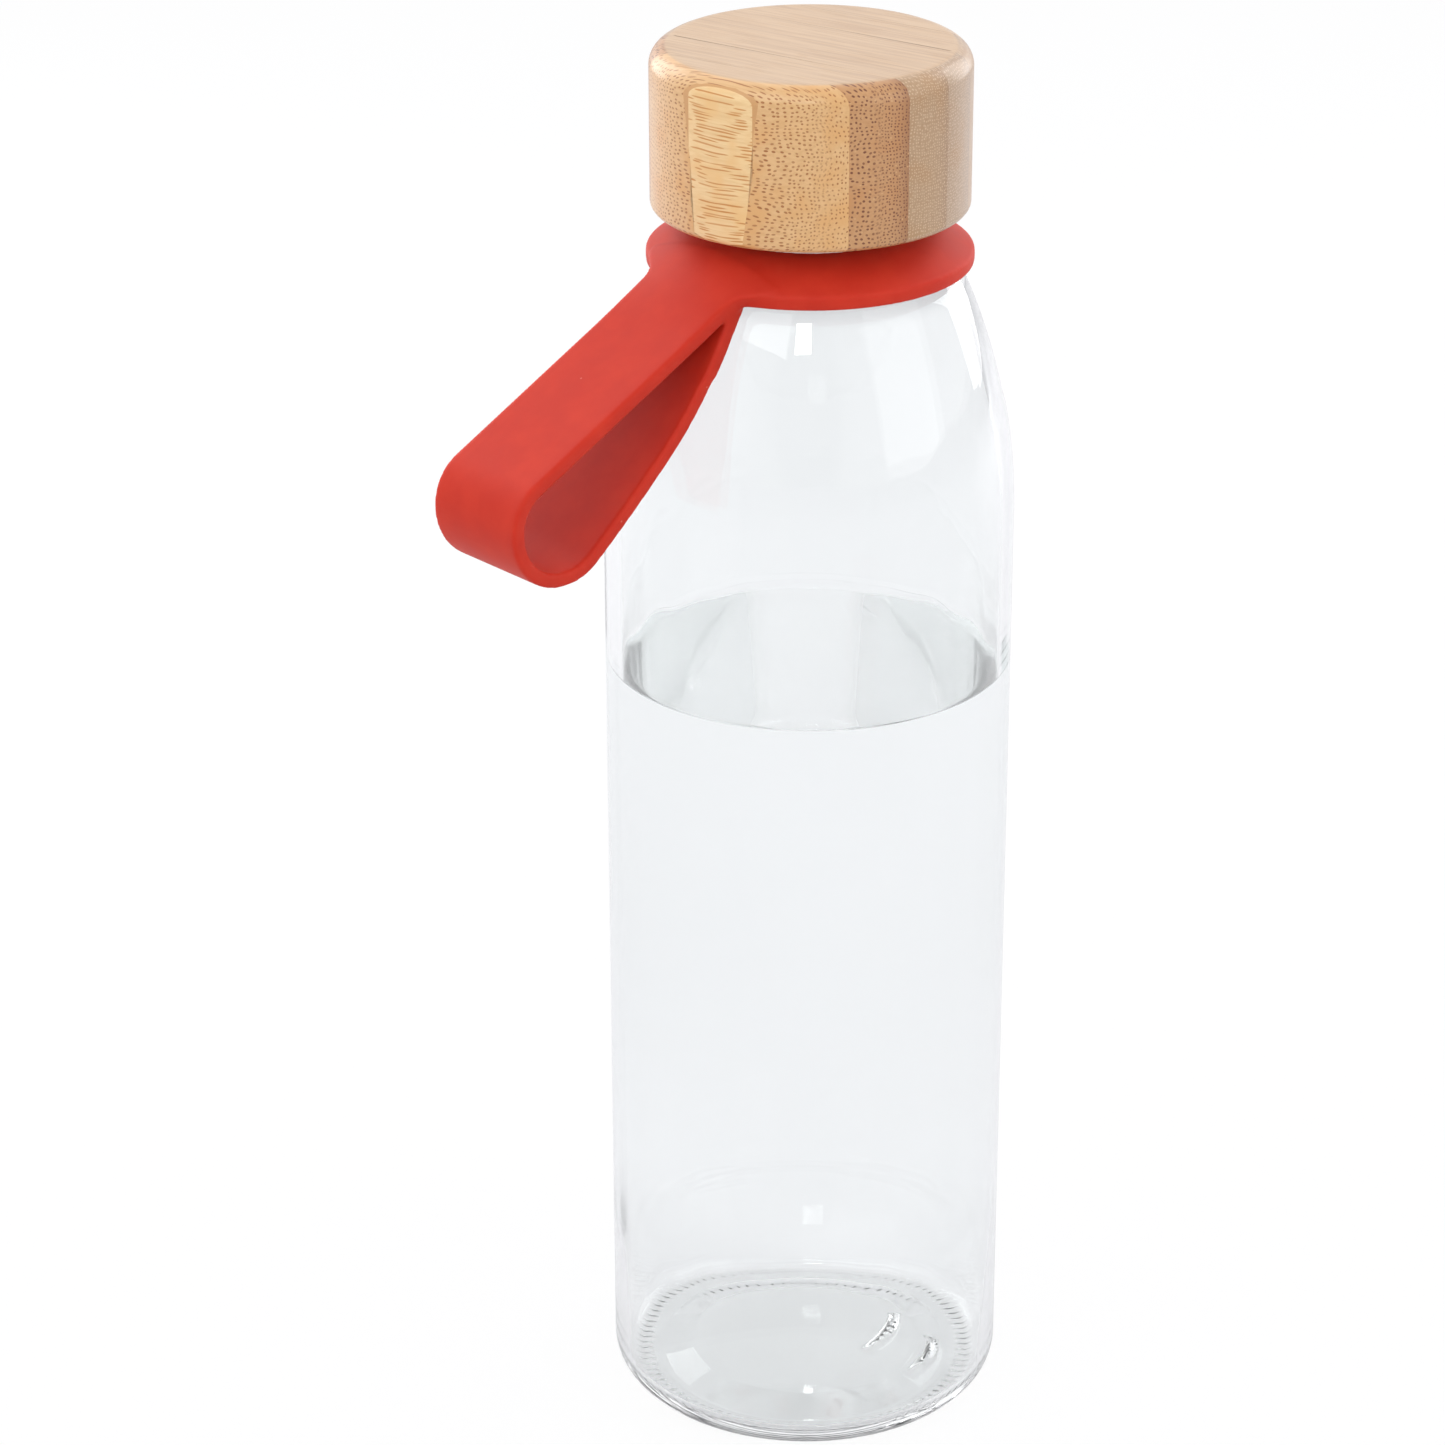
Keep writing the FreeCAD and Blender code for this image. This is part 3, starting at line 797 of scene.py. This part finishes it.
def make_cap(fibres):
    """The block cut at its glue lines into seven strips, each with its own look; the first strip's pale
    colour also carries a painted sheen.
    """
    block = bamboo_block()
    lines = [(index * strip_thickness, 0.0) for index in range(-2, 3)]
    lines.append((2 * strip_thickness + edge_strip, facing_lean))
    looks = (
        # The first strip's pale colour is its own bamboo tone made paler by a painted sheen, standing for
        # grazing light along that side of the cap.
        ((0.66, 0.47, 0.31, 1), (0.40, 0.21, 0.10, 1), 0.2, 0.2, 0.8, 1.2, 1.2),
        ((0.48, 0.31, 0.18, 1), (0.62, 0.45, 0.30, 1), 0.6, 0.2, 0.9, 1.2, 1.2),
        ((0.44, 0.29, 0.18, 1), (0.62, 0.46, 0.32, 1), 0.3, 0.9, 1.0, 1.1, 1.1),
        ((0.46, 0.29, 0.16, 1), (0.62, 0.43, 0.27, 1), 0.5, 0.8, 1.0, 1.1, 1.1),
        ((0.58, 0.30, 0.125, 1), (0.16, 0.036, 0.006, 1), 0.8, 0.5, 0.9, 1.0, 1.0),
        ((0.77, 0.47, 0.215, 1), (0.38, 0.13, 0.025, 1), 0.0, 0.55, 0.25, 1.7, 1.05),
        ((0.90, 0.63, 0.32, 1), (0.60, 0.24, 0.045, 1), 0.0, 0.5, 0.5, 0.9, 1.3),
    )
    limits = [-3 * strip_thickness] + [d for d, _ in lines] + [cap_radius]
    for index, look in enumerate(looks):
        strip = block.copy()
        strip.data = block.data.copy()
        bpy.context.scene.collection.objects.link(strip)
        strip.name = f"bamboo_lamella_{index + 1}"
        if index > 0:
            cut(strip, *lines[index - 1], True)
        if index < len(lines):
            cut(strip, *lines[index], False)
        mat = bamboo(f"bamboo_{index + 1}", fibres, look, limits[index + 1], limits[index], index * 1.7)
        finish_piece(strip, mat, 30)
        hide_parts(f"bamboo_strip_{index + 1}")
        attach(strip, "cap")
    bpy.data.objects.remove(block)


# =====================================================================
# Silicone strap
# =====================================================================

def path_steps():
    """The strap's middle line as short steps: how far to go and how far to turn first, in the XZ plane."""
    parts = (
        (13.0 * mm, 0.0, 26),
        (7.0 * mm, 7.5, 6),
        (31.2 * mm, 0.0, 14),
        (6.4 * mm, -54.0, 12),
        (21.8 * mm, -138.0, 30),
        (20.0 * mm, -5.0, 10),
        (19.0 * mm, -19.0, 12),
        (7.0 * mm, 4.0, 6),
    )
    for length, degrees, count in parts:
        for _ in range(count):
            yield length / count, math.radians(degrees) / count


def flare(out):
    """Half width of the strap at a distance out from the axis: it runs into the collar's rim in a fillet."""
    radius = 3.2 * mm
    half = strap_width / 2
    centre_side = half + radius
    centre_out = math.sqrt((collar_radius + radius) ** 2 - centre_side ** 2)
    touch_out = centre_out * collar_radius / (collar_radius + radius)
    if out >= centre_out:
        return half
    if out >= touch_out:
        return centre_side - math.sqrt(radius ** 2 - (centre_out - out) ** 2)
    return math.sqrt(collar_radius ** 2 - out ** 2) * out / touch_out


def make_band():
    """The flat band, swept from inside the collar, out, round the bend and back under the collar."""
    out, height, heading = 19.5 * mm, 205.95 * mm, math.radians(-34)
    bpy.ops.object.select_all(action="DESELECT")
    bpy.ops.mesh.primitive_grid_add(x_subdivisions=4, y_subdivisions=14, size=1, location=(0, 0, 0))
    band = bpy.context.object
    band.name = "silicone_strap"
    band.scale = (strap_thickness, 2 * flare(out), 1)
    band.rotation_euler = (0, -math.pi / 2, 0)
    bpy.ops.object.transform_apply(location=False, rotation=True, scale=True)
    band.rotation_euler = (0, heading, 0)
    band.location = (-out, 0, height)
    bpy.ops.object.transform_apply(location=True, rotation=True, scale=True)
    bpy.ops.object.mode_set(mode="EDIT")
    bpy.ops.mesh.select_all(action="SELECT")
    width = flare(out)
    upper = True
    for step, turn in path_steps():
        middle_heading = heading + turn / 2
        shift = (-step * math.cos(middle_heading), 0, step * math.sin(middle_heading))
        out += step * math.cos(middle_heading)
        height += step * math.sin(middle_heading)
        heading += turn
        centre = (-out, 0, height)
        bpy.ops.mesh.extrude_region_move(TRANSFORM_OT_translate={"value": shift})
        bpy.ops.transform.rotate(value=-turn, orient_axis="Y", center_override=centre)
        upper = upper and heading > -math.pi / 2
        new_width = flare(out) if upper else strap_width / 2
        bpy.ops.transform.resize(value=(1, new_width / width, 1), center_override=centre)
        width = new_width
    bpy.ops.mesh.select_all(action="SELECT")
    bpy.ops.mesh.normals_make_consistent(inside=False)
    bpy.ops.object.mode_set(mode="OBJECT")
    cone_end, cone_fade, lower_legs = 34 * mm, 8 * mm, 190 * mm
    for vertex in band.data.vertices:
        along = -vertex.co.x
        if vertex.co.z > lower_legs and along < cone_end:
            fade = min(1.0, (cone_end - along) / cone_fade)
            drop = math.hypot(along, vertex.co.y) - along
            vertex.co.z -= drop * math.tan(collar_slope) * fade
    return band


def make_collar():
    """The dished ring, with an upright rim between two small rounds."""
    inner = neck_radius + 0.35 * mm
    slope = math.tan(collar_slope)
    edge = 0.4 * mm
    rim_top = collar_high.z - (collar_radius - inner) * slope
    flat = collar_radius - edge
    rings = [(inner, collar_high.z - collar_depth)]
    rings += run(rings[0], (flat, rim_top - collar_depth + edge * slope), 10)
    rings += arc((flat, rim_top - collar_depth + 1.4 * edge), edge, -math.pi / 2, 0, 3)[1:]
    rings += arc((flat, rim_top - 0.7 * edge), edge, 0, math.pi / 2 - collar_slope, 3)
    rings += run(rings[-1], (inner, collar_high.z), 10)
    rings.append(rings[0])
    return turned("collar", rings, 160)


def make_strap(mat):
    """Collar and band grown together into one moulding, which bends at the fold."""
    band = make_band()
    collar = make_collar()
    bpy.ops.object.select_all(action="DESELECT")
    collar.select_set(True)
    band.select_set(True)
    bpy.context.view_layer.objects.active = band
    bpy.ops.object.join()
    remesh = band.modifiers.new("mould", "REMESH")
    remesh.mode = "VOXEL"
    remesh.voxel_size = strap_voxel
    bpy.ops.object.modifier_apply(modifier="mould")
    smooth = band.modifiers.new("polish", "SMOOTH")
    smooth.factor = 0.5
    smooth.iterations = 7
    bpy.ops.object.modifier_apply(modifier="polish")
    bpy.ops.object.mode_set(mode="EDIT")
    bpy.ops.mesh.select_all(action="SELECT")
    bpy.ops.mesh.normals_make_consistent(inside=False)
    bpy.ops.object.mode_set(mode="OBJECT")
    finish_piece(band, mat, 80)
    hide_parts("strap_collar", "strap_loop")
    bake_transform(band)


# =====================================================================
# The scene
# =====================================================================

bpy.context.scene.view_settings.view_transform = "Standard"
bpy.context.scene.cycles.max_bounces = 40
bpy.context.scene.cycles.transmission_bounces = 40
bpy.context.scene.cycles.glossy_bounces = 12
view_turn = make_camera()
make_world(view_turn)
make_floor()
soft_light("key", (-0.75, -0.15, 0.9), 0.7, 0.7, 1.9)
soft_light("fill", (0.35, -0.9, 0.5), 0.8, 0.8, 1.3)
soft_light("top", (0.4, 0.5, 0.9), 0.8, 0.8, 0.5)
soft_light("left_wing", (-0.02, 0.8, 0.42), 0.4, 0.7, 2.2)
soft_light("right_wing", (0.8, 0.02, 0.42), 0.4, 0.7, 1.8)
soft_light("window", (-0.80, -0.73, 0.76), 0.21, 0.13, 1.0)

fibres = fibre_group()
specks = specks_group()
make_glass(clear_glass())
make_water(*still_water())
make_cap(fibres)
make_strap(red_silicone(specks))
for node, mat in (("threaded_liner", liner_plastic()), ("silicone_gasket", seal_silicone(specks))):
    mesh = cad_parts[node].data
    mesh.materials.clear()
    mesh.materials.append(mat)
